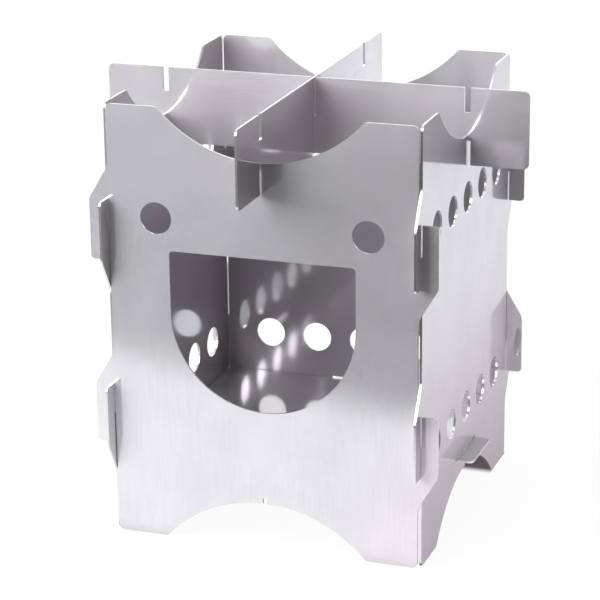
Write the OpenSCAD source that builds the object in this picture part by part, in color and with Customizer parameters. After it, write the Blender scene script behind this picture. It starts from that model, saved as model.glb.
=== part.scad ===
// Flat-pack twig stove: four slotted walls, a floor plate and two crossed pot bars.
// Origin: centre of the stove on the ground. The fuel door faces -Y, and +Z is up.
// All lengths are in millimetres.

/* [Sheet] */
// Thickness of the stainless steel sheet
sheet = 0.8; // [0.6:0.1:1.2]

/* [Walls] */
// Distance between the middle planes of two opposite walls
wall_span = 118; // [110:0.5:130]
// Height of each wall
wall_h = 164.5; // [155:0.5:185]
// Rounding of the outer corners of shoulders and feet
corner_r = 2.2; // [1:0.1:4]
// Depth of the arch in the top and bottom edge
arch_depth = 17.7; // [14:0.1:20]
// Radius of the arch
arch_r = 51.5; // [45:0.5:58]
// Rounding where the arch meets a shoulder or foot
arch_lip_r = 2; // [1:0.1:4]
// Depth of the seat notch at the middle of each arch
notch_depth = 2; // [1.5:0.1:3]
// Gap on each side of a pot bar in its seat notch
notch_play = 0.4; // [0.3:0.1:0.8]

/* [Ears] */
// Reach of an ear beyond the middle plane of the wall that it crosses
ear_reach = 6.75; // [5:0.25:9]
// Height of the ear middles above and below the middle of the wall
ear_offset = 35.4; // [32:0.1:38]
// Distance from the middle of an ear to its square end
ear_square = 11.6; // [9:0.1:13]
// Distance from the middle of an ear to the outer end of its slant
ear_slant_outer = 11.1; // [8:0.1:14]
// Distance from the middle of an ear to the foot of its slant
ear_slant_root = 23.6; // [20:0.1:26]
// Rounding at the square end of an ear
ear_square_r = 1.5; // [0.5:0.1:2.5]
// Rounding at both ends of the slant
ear_slant_r = 4; // [1:0.5:6]
// Gap on each side of a wall in the slot of its neighbour's ear
lap_play = 0.3; // [0.2:0.05:0.6]

/* [Vents] */
// Diameter of a vent hole
vent_d = 12; // [8:0.5:14]
// Distance between neighbouring vent holes
vent_pitch = 20; // [16:0.5:21]
// Number of vent holes in a row
vent_count = 5; // [3:2:5]
// Height of the two vent rows above and below the middle of the wall
vent_offset = 41.1; // [38:0.1:46]

/* [Fuel door] */
// Width of the fuel door
door_w = 70.6; // [50:0.2:76]
// Height of the door's straight top edge above the ground
door_top = 111.5; // [104:0.5:114]
// Height of the lowest point of the door above the ground
door_bottom = 53.1; // [48:0.1:60]
// Rounding of the door's two top corners
door_r = 1.5; // [0.5:0.1:4]

/* [Floor] */
// Height of the floor plate's underside above the ground
floor_z = 23.4; // [22.5:0.1:28]
// Width of a floor tab
tab_w = 25; // [18:0.5:34]
// Reach of a floor tab beyond the middle plane of its wall
tab_reach = 6.75; // [4:0.25:9]
// Rounding of the outer corners of a tab
tab_r = 2; // [0.5:0.1:3]
// Gap at each end of a tab in its slot
tab_end_play = 1; // [0.4:0.1:1.5]
// Gap above a tab in its slot
tab_top_play = 0.7; // [0.3:0.1:1.2]
// Gap between the floor plate's edges and the walls
floor_play = 0.4; // [0.3:0.1:1]
// Rounding of the floor plate's corners
floor_r = 1.5; // [0.5:0.5:4]

/* [Pot bars] */
// Length of a pot bar
bar_l = 164.5; // [150:0.5:185]
// Height of a pot bar
bar_h = 29; // [26:0.5:34]
// Rounding of a bar's corners
bar_r = 2.3; // [1:0.1:4]
// Width of the slots that straddle the walls
seat_w = 2.4; // [1.8:0.1:3.2]
// Depth of the slots that straddle the walls
seat_depth = 9.3; // [7:0.1:11]
// Rounding inside the closed end of those slots
seat_r = 0.5; // [0.2:0.1:0.5]
// Gap on each side of a bar in the crossing slots
cross_play = 0.4; // [0.3:0.1:0.8]
// Height left free between the two bars at the crossing
cross_gap = 0.3; // [0.2:0.1:0.6]

/* [Hidden] */

// Middle plane of a wall, measured from the stove's axis
wall_mid = wall_span / 2;
// Width of an ear's slot and of an arch's seat notch
lap_w = sheet + 2 * lap_play;
notch_w = sheet + 2 * notch_play;
// Half width of a wall between its ears: the slots' inner sides run on into its edges
wall_half = wall_mid - lap_w / 2;
// Outer ends of the ears, and heights of their middles
ear_end = wall_mid + ear_reach;
ear_low_z = wall_h / 2 - ear_offset;
ear_high_z = wall_h / 2 + ear_offset;
// Centre of the bottom arch below the ground, and of the rounding where it meets a foot
arch_cz = arch_depth - arch_r;
lip_x = sqrt((arch_r + arch_lip_r) ^ 2 - (arch_lip_r - arch_cz) ^ 2);
lip_angle = atan2(arch_lip_r - arch_cz, lip_x);
lip_start = [0, arch_cz] + arch_r * [cos(lip_angle), sin(lip_angle)];
// Where the walls carry the bars, and the bars' underside
seat_z = wall_h - arch_depth - notch_depth;
bar_z = seat_z - seat_depth;
// Width and depth of the slots in which the bars cross
cross_w = sheet + 2 * cross_play;
cross_depth = bar_h / 2 + cross_gap / 2;
// Centre of the door's round bottom
door_cz = door_bottom + door_w / 2;
// Half width of the floor plate between the walls
floor_half = wall_mid - sheet / 2 - floor_play;
// Fineness of circles on screen
$fn = 96;
steel = [0.78, 0.78, 0.80];

function unit(v) = v / norm(v);

// Rounding of the corner at b between edges to a and c: [start, end, centre, radius, sticks out]
function fillet(a, b, c, r) =
    let (u = unit(a - b),
         v = unit(c - b),
         half = acos(u * v) / 2)
    [b + u * r / tan(half),
     b + v * r / tan(half),
     b + unit(u + v) * r / sin(half),
     r,
     cross(v, u) > 0];

// Fills a counterclockwise loop of [x, y, rounding] corners, with true arcs
module rounded_plate(loop) {
    n = len(loop);
    p = [for (q = loop) [q[0], q[1]]];
    fillets = [
        for (i = [0:n - 1])
            loop[i][2] > 0 ? fillet(p[(i + n - 1) % n], p[i], p[(i + 1) % n], loop[i][2]) : []
    ];
    difference() {
        union() {
            polygon([for (i = [0:n - 1]) each loop[i][2] > 0 ? [fillets[i][0], fillets[i][1]] : [p[i]]]);
            for (f = fillets)
                if (len(f) > 0 && f[4])
                    translate(f[2])
                        circle(f[3]);
        }
        for (f = fillets)
            if (len(f) > 0 && !f[4])
                translate(f[2])
                    circle(f[3]);
    }
}

// An ear on a wall's right side, from its slant up to the mouth of its slot
function ear(z) = [
    [wall_half, z - ear_slant_root, ear_slant_r],
    [ear_end, z - ear_slant_outer, ear_slant_r],
    [ear_end, z + ear_square, ear_square_r],
    [wall_mid + lap_w / 2, z + ear_square, 0],
    [wall_mid + lap_w / 2, z, 0],
    [wall_half, z, 0]
];

// Right side of a wall, from the bottom arch up to the top one
wall_side = concat(
    [[lip_start.x, lip_start.y, 0], [lip_x, 0, 0], [wall_half, 0, corner_r]],
    ear(ear_low_z),
    ear(ear_high_z),
    [[wall_half, wall_h, corner_r], [lip_x, wall_h, 0], [lip_start.x, wall_h - lip_start.y, 0]]
);

// The cuts of the bottom arch, with its seat notch
module bottom_arch() {
    translate([0, arch_cz])
        circle(arch_r);
    translate([-notch_w / 2, 0])
        square([notch_w, arch_depth + notch_depth]);
}

// Outline of a wall seen from outside: a half turn swaps its two sides
module wall_outline() {
    difference() {
        union() {
            rounded_plate(concat(wall_side, [for (q = wall_side) [-q[0], wall_h - q[1], q[2]]]));
            for (x = [-lip_x, lip_x], z = [arch_lip_r, wall_h - arch_lip_r])
                translate([x, z])
                    circle(arch_lip_r);
        }
        bottom_arch();
        translate([0, wall_h])
            mirror([0, 1])
                bottom_arch();
    }
}

// A row of vent holes at height z; a step of 1 makes every hole, a larger one only the outer ones
module vent_row(z, step) {
    outer = (vent_count - 1) / 2;
    for (i = [-outer:step:outer])
        translate([i * vent_pitch, z])
            circle(d = vent_d);
}

module floor_slot() {
    translate([-tab_w / 2 - tab_end_play, floor_z])
        square([tab_w + 2 * tab_end_play, sheet + tab_top_play]);
}

// The fuel door: straight at the top, and a half circle at the bottom
module door_opening() {
    side = door_w / 2;
    straight = door_top - door_cz;
    translate([0, door_cz]) {
        rounded_plate([[side, 0, 0], [side, straight, door_r], [-side, straight, door_r], [-side, 0, 0]]);
        intersection() {
            circle(side);
            translate([-side, -side])
                square([door_w, side]);
        }
    }
}

// Stands a flat outline up in the front wall's place, then turns it round the stove
module stand_up(turn) {
    rotate([0, 0, turn])
        translate([0, sheet / 2 - wall_mid, 0])
            rotate([90, 0, 0])
                linear_extrude(sheet)
                    children();
}

// A side or back wall with both vent rows and the slot for a floor tab
module vented_wall(turn) {
    stand_up(turn)
        difference() {
            wall_outline();
            vent_row(wall_h / 2 - vent_offset, 1);
            vent_row(wall_h / 2 + vent_offset, 1);
            floor_slot();
        }
}

module front_wall() {
    color(steel)
        stand_up(0)
            difference() {
                wall_outline();
                vent_row(wall_h / 2 + vent_offset, vent_count - 1);
                door_opening();
            }
}

module right_wall() {
    color(steel)
        vented_wall(90);
}

module back_wall() {
    color(steel)
        vented_wall(180);
}

module left_wall() {
    color(steel)
        vented_wall(270);
}

// Corners of a quarter of the floor plate, from a corner up to and round the next tab
function floor_side(angle) =
    let (out = wall_mid + tab_reach,
         side = tab_w / 2,
         path = [[floor_half, -floor_half, floor_r],
                 [floor_half, -side, 0], [out, -side, tab_r], [out, side, tab_r], [floor_half, side, 0]])
    [for (q = path) [q[0] * cos(angle) - q[1] * sin(angle), q[0] * sin(angle) + q[1] * cos(angle), q[2]]];

module floor_plate() {
    color(steel)
        translate([0, 0, floor_z])
            linear_extrude(sheet)
                rounded_plate(concat(
                    floor_side(0),
                    floor_side(90),
                    floor_side(180),
                    [[-floor_half, -floor_half, floor_r]]
                ));
}

// Corners of a slot cut up into a bar's lower edge
function slot_up(x, w, depth, r) =
    [[x - w / 2, 0, 0], [x - w / 2, depth, r], [x + w / 2, depth, r], [x + w / 2, 0, 0]];

// Corners of the same slot cut down into the upper edge
function slot_down(x, w, depth, r) =
    [[x + w / 2, bar_h, 0], [x + w / 2, bar_h - depth, r], [x - w / 2, bar_h - depth, r],
     [x - w / 2, bar_h, 0]];

// Outline of a pot bar; the crossing slot opens upwards or downwards
module bar_outline(opens_up) {
    crossing_below = opens_up ? [] : slot_up(0, cross_w, cross_depth, 0);
    crossing_above = opens_up ? slot_down(0, cross_w, cross_depth, 0) : [];
    rounded_plate(concat(
        [[-bar_l / 2, 0, bar_r]],
        slot_up(-wall_mid, seat_w, seat_depth, seat_r),
        crossing_below,
        slot_up(wall_mid, seat_w, seat_depth, seat_r),
        [[bar_l / 2, 0, bar_r], [bar_l / 2, bar_h, bar_r]],
        slot_down(wall_mid, seat_w, seat_depth, seat_r),
        crossing_above,
        slot_down(-wall_mid, seat_w, seat_depth, seat_r),
        [[-bar_l / 2, bar_h, bar_r]]
    ));
}

// Stands a bar's outline up over the stove's axis
module stand_bar(turn, opens_up) {
    rotate([0, 0, turn])
        translate([0, sheet / 2, bar_z])
            rotate([90, 0, 0])
                linear_extrude(sheet)
                    bar_outline(opens_up);
}

// The bar from left to right, whose crossing slot opens upwards
module lower_pot_bar() {
    color(steel)
        stand_bar(0, true);
}

// The bar from front to back, whose crossing slot drops over the lower one
module upper_pot_bar() {
    color(steel)
        stand_bar(90, false);
}

front_wall();
right_wall();
back_wall();
left_wall();
floor_plate();
lower_pot_bar();
upper_pot_bar();
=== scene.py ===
"""Looks of a flat-pack twig stove of thin stainless steel sheet, in a pale studio.

Lengths are in metres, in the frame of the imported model: +Z up, the fuel door faces -Y.
"""

import math

import bpy
from mathutils import Matrix, Vector

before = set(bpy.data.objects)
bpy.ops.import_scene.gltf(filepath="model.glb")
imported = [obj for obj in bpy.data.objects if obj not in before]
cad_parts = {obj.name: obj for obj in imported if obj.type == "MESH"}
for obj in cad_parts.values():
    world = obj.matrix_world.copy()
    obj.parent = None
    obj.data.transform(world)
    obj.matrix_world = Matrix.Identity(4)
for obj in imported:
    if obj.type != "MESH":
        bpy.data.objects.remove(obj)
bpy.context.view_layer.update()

# Camera: where the photograph was taken from
CAMERA_AT = Vector((0.2943, -0.8490, 0.3764))
CAMERA_AZIMUTH = math.radians(19.51)
CAMERA_DOWN = math.radians(18.39)
CAMERA_ROLL = math.radians(-0.69)
CAMERA_LENS_MM = 149.36
SENSOR_MM = 36.0
CLIP_START = 0.05

# Steel: brushed outside; inside a mill finish whose darker tone is partly painted shade, with painted shade
# towards the corners; bright laser-cut edges.
# Its gloss is a crisp one and a hazy one, mixed grain by grain through very fine specks.
BRUSHED_COLOUR = (0.785, 0.760, 0.780)
# Firebox faces below the rim: mill finish, darker partly as painted shade of the firebox
MILL_AND_SHADE_COLOUR = (0.672, 0.649, 0.672)
# Painted shade towards the firebox's corners
CORNER_SHADE_COLOUR = (0.49, 0.472, 0.481)
CORNER_SHADE_FROM = (0.040, 0.060)
EDGE_COLOUR = (0.84, 0.83, 0.85)
EDGE_METALLIC = 0.95
EDGE_ROUGHNESS = 0.22
FINE_ROUGHNESS = 0.08
HAZE_ROUGHNESS = 0.53
HAZE_SHARE = (0.505, 0.585)
MILL_CLEARER = 0.06
WALL_FACE = 0.0594
MILL_AND_SHADE_RIM = (0.100, 0.122)

# Patterns of the steel: scale per metre, detail and roughness of each noise, and scales across and along
SPECK_NOISE = (60000, 0.0)
FINE_NOISE = (2600, 2.0)
CLOUD_NOISE = (55, 3.0, 0.55)
SMEAR_NOISE = (38, 4.0, 0.6)
STREAK_SCALE = (1500, 60)
STREAK_DETAIL = 3.0
CUT_SCALE = (4200, 300)
CUT_DETAIL = 2.0
SMEAR_FROM = (0.60, 0.74)
SCUFF_HEIGHT = (0.156, 0.1645)
SCUFF_FROM = (0.48, 0.62)

# What the patterns do to the steel's tone, gloss and relief
NOISE_SPAN = (0.3, 0.7)
CLOUD_TONE = (0.965, 1.025)
STREAK_TONE = (0.965, 1.02)
SMEAR_TONE = 0.90
STREAK_ROUGHNESS = 0.02
SMEAR_ROUGHNESS = 0.05
SCUFF_ROUGHNESS = 0.12
FINE_RELIEF = 0.4
CUT_RELIEF = 12.0
RELIEF_HEIGHT = 0.0000012

# Light: one large softbox at the front left, and a room that is bright behind at the left, dark at the right
# and has one lit patch low in front. The camera sees it white.
KEY_TINT = (1.0, 1.0, 1.035)
KEY_AIM = Vector((0, 0, 0.12))
KEY_AZIMUTH = math.radians(-42)
KEY_HEIGHT = math.radians(30)
KEY_DISTANCE = 1.2
KEY_SIZE = (1.05, 1.12)
KEY_WATTS = 22.9
ROOM_SIDE = (-0.62, 0.70)
ROOM_FADE = (-0.10, 0.95)
ROOM_GLOW = (0.064, 1.40)
ROOF_FROM = (0.90, 0.98)
ROOF_GLOW = 1.44
WINDOW_WAY = Vector((-0.28, -0.90, 0.33)).normalized()
WINDOW_EDGE = (0.935, 0.960)
WINDOW_GLOW = 1.08
GLOSSY_BOUNCES = 16
MAX_BOUNCES = 20

# Floor, as bounced light and the steel's mirrors see it: shaded by place, dark past the table's edge
FLOOR_HALF = 9.0
FLOOR_DROP = 0.0002
TABLE_ALBEDO = 0.06
FLOOR_BOUNCE = 0.5
TABLE_EDGE = (-0.236, -0.184)
TABLE_SKEW = 0.26
FLOOR_TINT = (0.935, 0.987, 0.997)
RIGHT_TINT = ((1.07, 0.958, 1.06), (0.98, 0.985, 1.045))
FRONT_FADE = (-0.07, -0.05)
FRONT_GLOW = 0.985
SIDE_FADE = (0.0, 0.07)
RIGHT_FADE = (0.062, 0.144)
RIGHT_GLOW = (0.575, 1.07)
BEHIND_FADE = (0.05, 0.10)
LEFT_GLOW = 0.42
BEHIND_GLOW = 1.0
UNDER_GLOW = 0.12
ROOM_SHARE_FADE = (-0.22, -0.06)
ROOM_SHARE = (0.20, 0.03)

# Floor as the camera sees it: white, with a painted shadow under the rear right corner
CAMERA_GLOW = 0.95
CAMERA_ALBEDO = 0.07
SHADOW_FROM = (0.035, 0.041)
SHADOW_SIDE = (0.005, 0.030)
SHADOW_TONE = (0.115, 0.09, 0.095)

# Plates: the axis that each one is square to, its grain, how metallic it is outside and on its firebox face,
# and by how much it is less hazy
PLATES = {
    "front_wall": ("Y", "Z", 0.76, 0.70, 0.0),
    "back_wall": ("Y", "Z", 0.76, 0.58, 0.0),
    "left_wall": ("X", "Z", 0.76, 0.94, 0.0),
    "right_wall": ("X", "Z", 0.76, 0.86, 0.0),
    "floor_plate": ("Z", "X", 0.76, 0.80, 0.0),
    "lower_pot_bar": ("Y", "X", 0.70, None, 0.0),
    "upper_pot_bar": ("X", "Y", 0.86, None, 0.045),
}


class Nodes:
    """A short way to write down a node tree."""

    def __init__(self, tree):
        self.tree = tree
        tree.nodes.clear()

    def add(self, kind, **settings):
        node = self.tree.nodes.new(kind)
        for key, value in settings.items():
            setattr(node, key, value)
        return node

    def link(self, source, target):
        self.tree.links.new(source, target)

    def feed(self, target, value):
        if isinstance(value, bpy.types.NodeSocket):
            self.link(value, target)
        else:
            target.default_value = value

    def math(self, operation, a, b=0.0):
        node = self.add("ShaderNodeMath", operation=operation)
        self.feed(node.inputs[0], a)
        self.feed(node.inputs[1], b)
        return node.outputs[0]

    def ramp(self, value, low, high, to_low=0.0, to_high=1.0):
        """Carries value from the range low to high over to the range to_low to to_high, smoothly."""
        node = self.add("ShaderNodeMapRange", interpolation_type="SMOOTHSTEP")
        self.feed(node.inputs["Value"], value)
        self.feed(node.inputs["From Min"], low)
        self.feed(node.inputs["From Max"], high)
        self.feed(node.inputs["To Min"], to_low)
        self.feed(node.inputs["To Max"], to_high)
        return node.outputs["Result"]

    def mix(self, factor, a, b):
        node = self.add("ShaderNodeMix", data_type="FLOAT")
        self.feed(node.inputs["Factor"], factor)
        self.feed(node.inputs["A"], a)
        self.feed(node.inputs["B"], b)
        return node.outputs["Result"]

    def mix_colour(self, factor, a, b):
        node = self.add("ShaderNodeMix", data_type="RGBA")
        self.feed(node.inputs["Factor"], factor)
        for socket, value in ((node.inputs[6], a), (node.inputs[7], b)):
            self.feed(socket, value if isinstance(value, bpy.types.NodeSocket) else (*value[:3], 1))
        return node.outputs[2]

    def add_shaders(self, a, b):
        node = self.add("ShaderNodeAddShader")
        self.link(a.outputs[0], node.inputs[0])
        self.link(b.outputs[0], node.inputs[1])
        return node.outputs[0]

    def noise(self, vector, scale, detail=2.0, roughness=0.5):
        node = self.add("ShaderNodeTexNoise")
        self.link(vector, node.inputs["Vector"])
        node.inputs["Scale"].default_value = scale
        node.inputs["Detail"].default_value = detail
        node.inputs["Roughness"].default_value = roughness
        return node.outputs["Fac"]

    def stretched(self, vector, scale):
        node = self.add("ShaderNodeMapping", vector_type="POINT")
        self.link(vector, node.inputs["Vector"])
        node.inputs["Scale"].default_value = scale
        return node.outputs["Vector"]


def new_material(name):
    material = bpy.data.materials.new(name)
    material.use_nodes = True
    return material, Nodes(material.node_tree)


def inner_mask(n, place, normal, plate_axis):
    """1 on the face that looks into the firebox, whose as-rolled finish is darkened partly as painted shade;
    0 outside it and on the ears.
    """
    if plate_axis == "Z":
        away = n.math("MAXIMUM", n.math("ABSOLUTE", place["X"]), n.math("ABSOLUTE", place["Y"]))
        return n.math("LESS_THAN", away, WALL_FACE)
    faces_out = n.math("MULTIPLY", normal[plate_axis], place[plate_axis])
    inside = n.math("LESS_THAN", faces_out, 0.0)
    sideways = n.math("ABSOLUTE", place["Y" if plate_axis == "X" else "X"])
    inside = n.math("MULTIPLY", inside, n.math("LESS_THAN", sideways, WALL_FACE))
    below_rim = n.ramp(place["Z"], *MILL_AND_SHADE_RIM, 1.0, 0.0)
    return n.math("MULTIPLY", inside, below_rim)


def along_axis(axis, scales):
    """Scale of a pattern that is drawn out along one axis."""
    across, along = scales
    return tuple(along if letter == axis else across for letter in "XYZ")


def sheet_steel(name, plate_axis, grain_axis, metallic, mill_metallic, clearer):
    material, n = new_material(name)
    coordinates = n.add("ShaderNodeTexCoord")
    at = coordinates.outputs["Object"]
    place_xyz = n.add("ShaderNodeSeparateXYZ")
    n.link(at, place_xyz.inputs[0])
    normal_xyz = n.add("ShaderNodeSeparateXYZ")
    n.link(coordinates.outputs["Normal"], normal_xyz.inputs[0])
    place, normal = place_xyz.outputs, normal_xyz.outputs
    flat = n.math("GREATER_THAN", n.math("ABSOLUTE", normal[plate_axis]), 0.5)

    streaks = n.noise(n.stretched(at, along_axis(grain_axis, STREAK_SCALE)), 1.0, STREAK_DETAIL)
    fine = n.noise(at, *FINE_NOISE)
    clouds = n.noise(at, *CLOUD_NOISE)
    smear = n.ramp(n.noise(at, *SMEAR_NOISE), *SMEAR_FROM)
    scuff = n.math("MULTIPLY", n.ramp(place["Z"], *SCUFF_HEIGHT), n.ramp(streaks, *SCUFF_FROM))
    cut = n.noise(n.stretched(at, along_axis(plate_axis, CUT_SCALE)), 1.0, CUT_DETAIL)

    specks = n.math("SUBTRACT", n.noise(at, *SPECK_NOISE), clearer)
    if mill_metallic is not None:
        inner = inner_mask(n, place, normal, plate_axis)
        specks = n.math("SUBTRACT", specks, n.math("MULTIPLY", inner, MILL_CLEARER))
    haze = n.ramp(specks, *HAZE_SHARE)
    roughness = n.mix(haze, FINE_ROUGHNESS, HAZE_ROUGHNESS)
    roughness = n.math("ADD", roughness, n.math("MULTIPLY", streaks, STREAK_ROUGHNESS))
    roughness = n.math("ADD", roughness, n.math("MULTIPLY", smear, SMEAR_ROUGHNESS))
    roughness = n.math("ADD", roughness, n.math("MULTIPLY", scuff, SCUFF_ROUGHNESS))
    tone = n.ramp(clouds, *NOISE_SPAN, *CLOUD_TONE)
    tone = n.math("MULTIPLY", tone, n.ramp(streaks, *NOISE_SPAN, *STREAK_TONE))
    tone = n.math("MULTIPLY", tone, n.ramp(smear, 0.0, 1.0, 1.0, SMEAR_TONE))

    colour = BRUSHED_COLOUR
    if mill_metallic is not None:
        # Painted shade: darker towards the firebox's corners
        into_corner = n.math("MINIMUM", n.math("ABSOLUTE", place["X"]), n.math("ABSOLUTE", place["Y"]))
        corner_shade = n.ramp(into_corner, *CORNER_SHADE_FROM)
        mill_and_shade_tone = n.mix_colour(corner_shade, MILL_AND_SHADE_COLOUR, CORNER_SHADE_COLOUR)
        # Firebox faces: mill finish, darkened partly as painted shade
        colour = n.mix_colour(inner, BRUSHED_COLOUR, mill_and_shade_tone)
        metallic = n.mix(inner, metallic, mill_metallic)
    toned = n.add("ShaderNodeVectorMath", operation="SCALE")
    n.feed(toned.inputs[0], colour)
    n.link(tone, toned.inputs["Scale"])

    relief = n.math("ADD", streaks, n.math("MULTIPLY", fine, FINE_RELIEF))
    height = n.mix(flat, n.math("MULTIPLY", cut, CUT_RELIEF), relief)
    bump = n.add("ShaderNodeBump")
    bump.inputs["Strength"].default_value = 1.0
    bump.inputs["Distance"].default_value = RELIEF_HEIGHT
    n.link(height, bump.inputs["Height"])

    shader = n.add("ShaderNodeBsdfPrincipled")
    n.link(n.mix_colour(flat, EDGE_COLOUR, toned.outputs[0]), shader.inputs["Base Color"])
    n.link(n.mix(flat, EDGE_METALLIC, metallic), shader.inputs["Metallic"])
    n.link(n.mix(flat, EDGE_ROUGHNESS, roughness), shader.inputs["Roughness"])
    n.link(bump.outputs[0], shader.inputs["Normal"])
    output = n.add("ShaderNodeOutputMaterial")
    n.link(shader.outputs[0], output.inputs["Surface"])
    return material


def floor_glow(n, x, y):
    """How bright the floor is by place, for all but the camera: shaded beside the stove."""
    right = n.ramp(x, *RIGHT_FADE, *RIGHT_GLOW)
    left = n.ramp(y, *BEHIND_FADE, LEFT_GLOW, BEHIND_GLOW)
    beside = n.mix(n.ramp(x, *SIDE_FADE), left, right)
    return n.mix(n.ramp(y, *FRONT_FADE), FRONT_GLOW, beside)


def floor_material():
    material, n = new_material("studio_floor")
    xyz = n.add("ShaderNodeSeparateXYZ")
    n.link(n.add("ShaderNodeTexCoord").outputs["Object"], xyz.inputs[0])
    x, y = xyz.outputs["X"], xyz.outputs["Y"]
    light_path = n.add("ShaderNodeLightPath").outputs
    away = n.math("MAXIMUM", n.math("ABSOLUTE", x), n.math("ABSOLUTE", y))
    inside = n.math("LESS_THAN", away, WALL_FACE)

    past_edge = n.math("SUBTRACT", y, n.math("MULTIPLY", x, TABLE_SKEW))
    room_share = n.ramp(x, *ROOM_SHARE_FADE, *ROOM_SHARE)
    on_table = n.ramp(past_edge, *TABLE_EDGE, room_share, 1.0)
    glow = n.add("ShaderNodeEmission")
    right_tint = n.mix_colour(n.ramp(x, *RIGHT_FADE), *RIGHT_TINT)
    n.link(n.mix_colour(n.ramp(x, *SIDE_FADE), FLOOR_TINT, right_tint), glow.inputs["Color"])
    bounce = n.mix(light_path["Is Diffuse Ray"], 1.0, FLOOR_BOUNCE)
    strength = n.math("MULTIPLY", n.mix(inside, floor_glow(n, x, y), UNDER_GLOW), on_table)
    n.link(n.math("MULTIPLY", strength, bounce), glow.inputs["Strength"])
    table = n.add("ShaderNodeBsdfDiffuse")
    grey = n.add("ShaderNodeCombineColor")
    for socket in ("Red", "Green", "Blue"):
        n.link(n.math("MULTIPLY", on_table, TABLE_ALBEDO), grey.inputs[socket])
    n.link(grey.outputs[0], table.inputs["Color"])

    # Painted shadow on the floor under the stove's rear right corner
    under = n.math("MULTIPLY", inside, n.ramp(y, *SHADOW_FROM))
    under = n.math("MULTIPLY", under, n.ramp(x, *SHADOW_SIDE))
    white = n.add("ShaderNodeEmission")
    n.link(n.mix_colour(under, (1, 1, 1), SHADOW_TONE), white.inputs["Color"])
    white.inputs["Strength"].default_value = CAMERA_GLOW
    shade = n.add("ShaderNodeBsdfDiffuse")
    pale = (CAMERA_ALBEDO, CAMERA_ALBEDO, CAMERA_ALBEDO)
    n.link(n.mix_colour(under, pale, (0, 0, 0)), shade.inputs["Color"])

    mix = n.add("ShaderNodeMixShader")
    n.link(light_path["Is Camera Ray"], mix.inputs[0])
    n.link(n.add_shaders(table, glow), mix.inputs[1])
    n.link(n.add_shaders(shade, white), mix.inputs[2])
    output = n.add("ShaderNodeOutputMaterial")
    n.link(mix.outputs[0], output.inputs["Surface"])
    return material


def make_floor():
    mesh = bpy.data.meshes.new("studio_floor")
    low, high = -FLOOR_HALF, FLOOR_HALF
    corners = [(low, low, 0), (high, low, 0), (high, high, 0), (low, high, 0)]
    mesh.from_pydata(corners, [], [(0, 1, 2, 3)])
    floor = bpy.data.objects.new("studio_floor", mesh)
    bpy.context.scene.collection.objects.link(floor)
    floor.location.z = -FLOOR_DROP
    mesh.materials.append(floor_material())


def make_world():
    world = bpy.data.worlds.new("studio")
    bpy.context.scene.world = world
    world.use_nodes = True
    n = Nodes(world.node_tree)
    xyz = n.add("ShaderNodeSeparateXYZ")
    way = n.add("ShaderNodeTexCoord").outputs["Generated"]
    n.link(way, xyz.inputs[0])
    x, y, z = xyz.outputs["X"], xyz.outputs["Y"], xyz.outputs["Z"]
    towards = n.math("ADD", n.math("MULTIPLY", x, ROOM_SIDE[0]), n.math("MULTIPLY", y, ROOM_SIDE[1]))
    walls = n.ramp(towards, *ROOM_FADE, *ROOM_GLOW)
    room = n.mix(n.ramp(z, *ROOF_FROM), walls, ROOF_GLOW)
    facing = n.add("ShaderNodeVectorMath", operation="DOT_PRODUCT")
    n.link(way, facing.inputs[0])
    facing.inputs[1].default_value = WINDOW_WAY
    room = n.mix(n.ramp(facing.outputs["Value"], *WINDOW_EDGE), room, WINDOW_GLOW)
    seen = n.mix(n.add("ShaderNodeLightPath").outputs["Is Camera Ray"], room, 1.0)
    background = n.add("ShaderNodeBackground")
    background.inputs["Color"].default_value = (1, 1, 1, 1)
    n.link(seen, background.inputs["Strength"])
    output = n.add("ShaderNodeOutputWorld")
    n.link(background.outputs[0], output.inputs["Surface"])


def make_softbox():
    data = bpy.data.lights.new("key_softbox", "AREA")
    data.shape = "RECTANGLE"
    data.size, data.size_y = KEY_SIZE
    data.energy = KEY_WATTS
    data.color = KEY_TINT
    lamp = bpy.data.objects.new("key_softbox", data)
    bpy.context.scene.collection.objects.link(lamp)
    lamp.visible_camera = False
    level = math.cos(KEY_HEIGHT)
    way = Vector((level * math.sin(KEY_AZIMUTH), -level * math.cos(KEY_AZIMUTH), math.sin(KEY_HEIGHT)))
    lamp.location = KEY_AIM + KEY_DISTANCE * way
    lamp.rotation_euler = (-way).to_track_quat("-Z", "Y").to_euler()


def make_camera():
    data = bpy.data.cameras.new("camera")
    data.lens = CAMERA_LENS_MM
    data.sensor_width = SENSOR_MM
    data.clip_start = CLIP_START
    camera = bpy.data.objects.new("camera", data)
    bpy.context.scene.collection.objects.link(camera)
    turn = (
        Matrix.Rotation(CAMERA_AZIMUTH, 4, "Z")
        @ Matrix.Rotation(math.pi / 2 - CAMERA_DOWN, 4, "X")
        @ Matrix.Rotation(CAMERA_ROLL, 4, "Z")
    )
    camera.matrix_world = Matrix.Translation(CAMERA_AT) @ turn
    bpy.context.scene.camera = camera


for name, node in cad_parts.items():
    node.data.materials.clear()
    node.data.materials.append(sheet_steel(name + "_steel", *PLATES[name]))

make_camera()
make_floor()
make_world()
make_softbox()

scene = bpy.context.scene
scene.view_settings.view_transform = "Standard"
scene.cycles.glossy_bounces = GLOSSY_BOUNCES
scene.cycles.max_bounces = MAX_BOUNCES
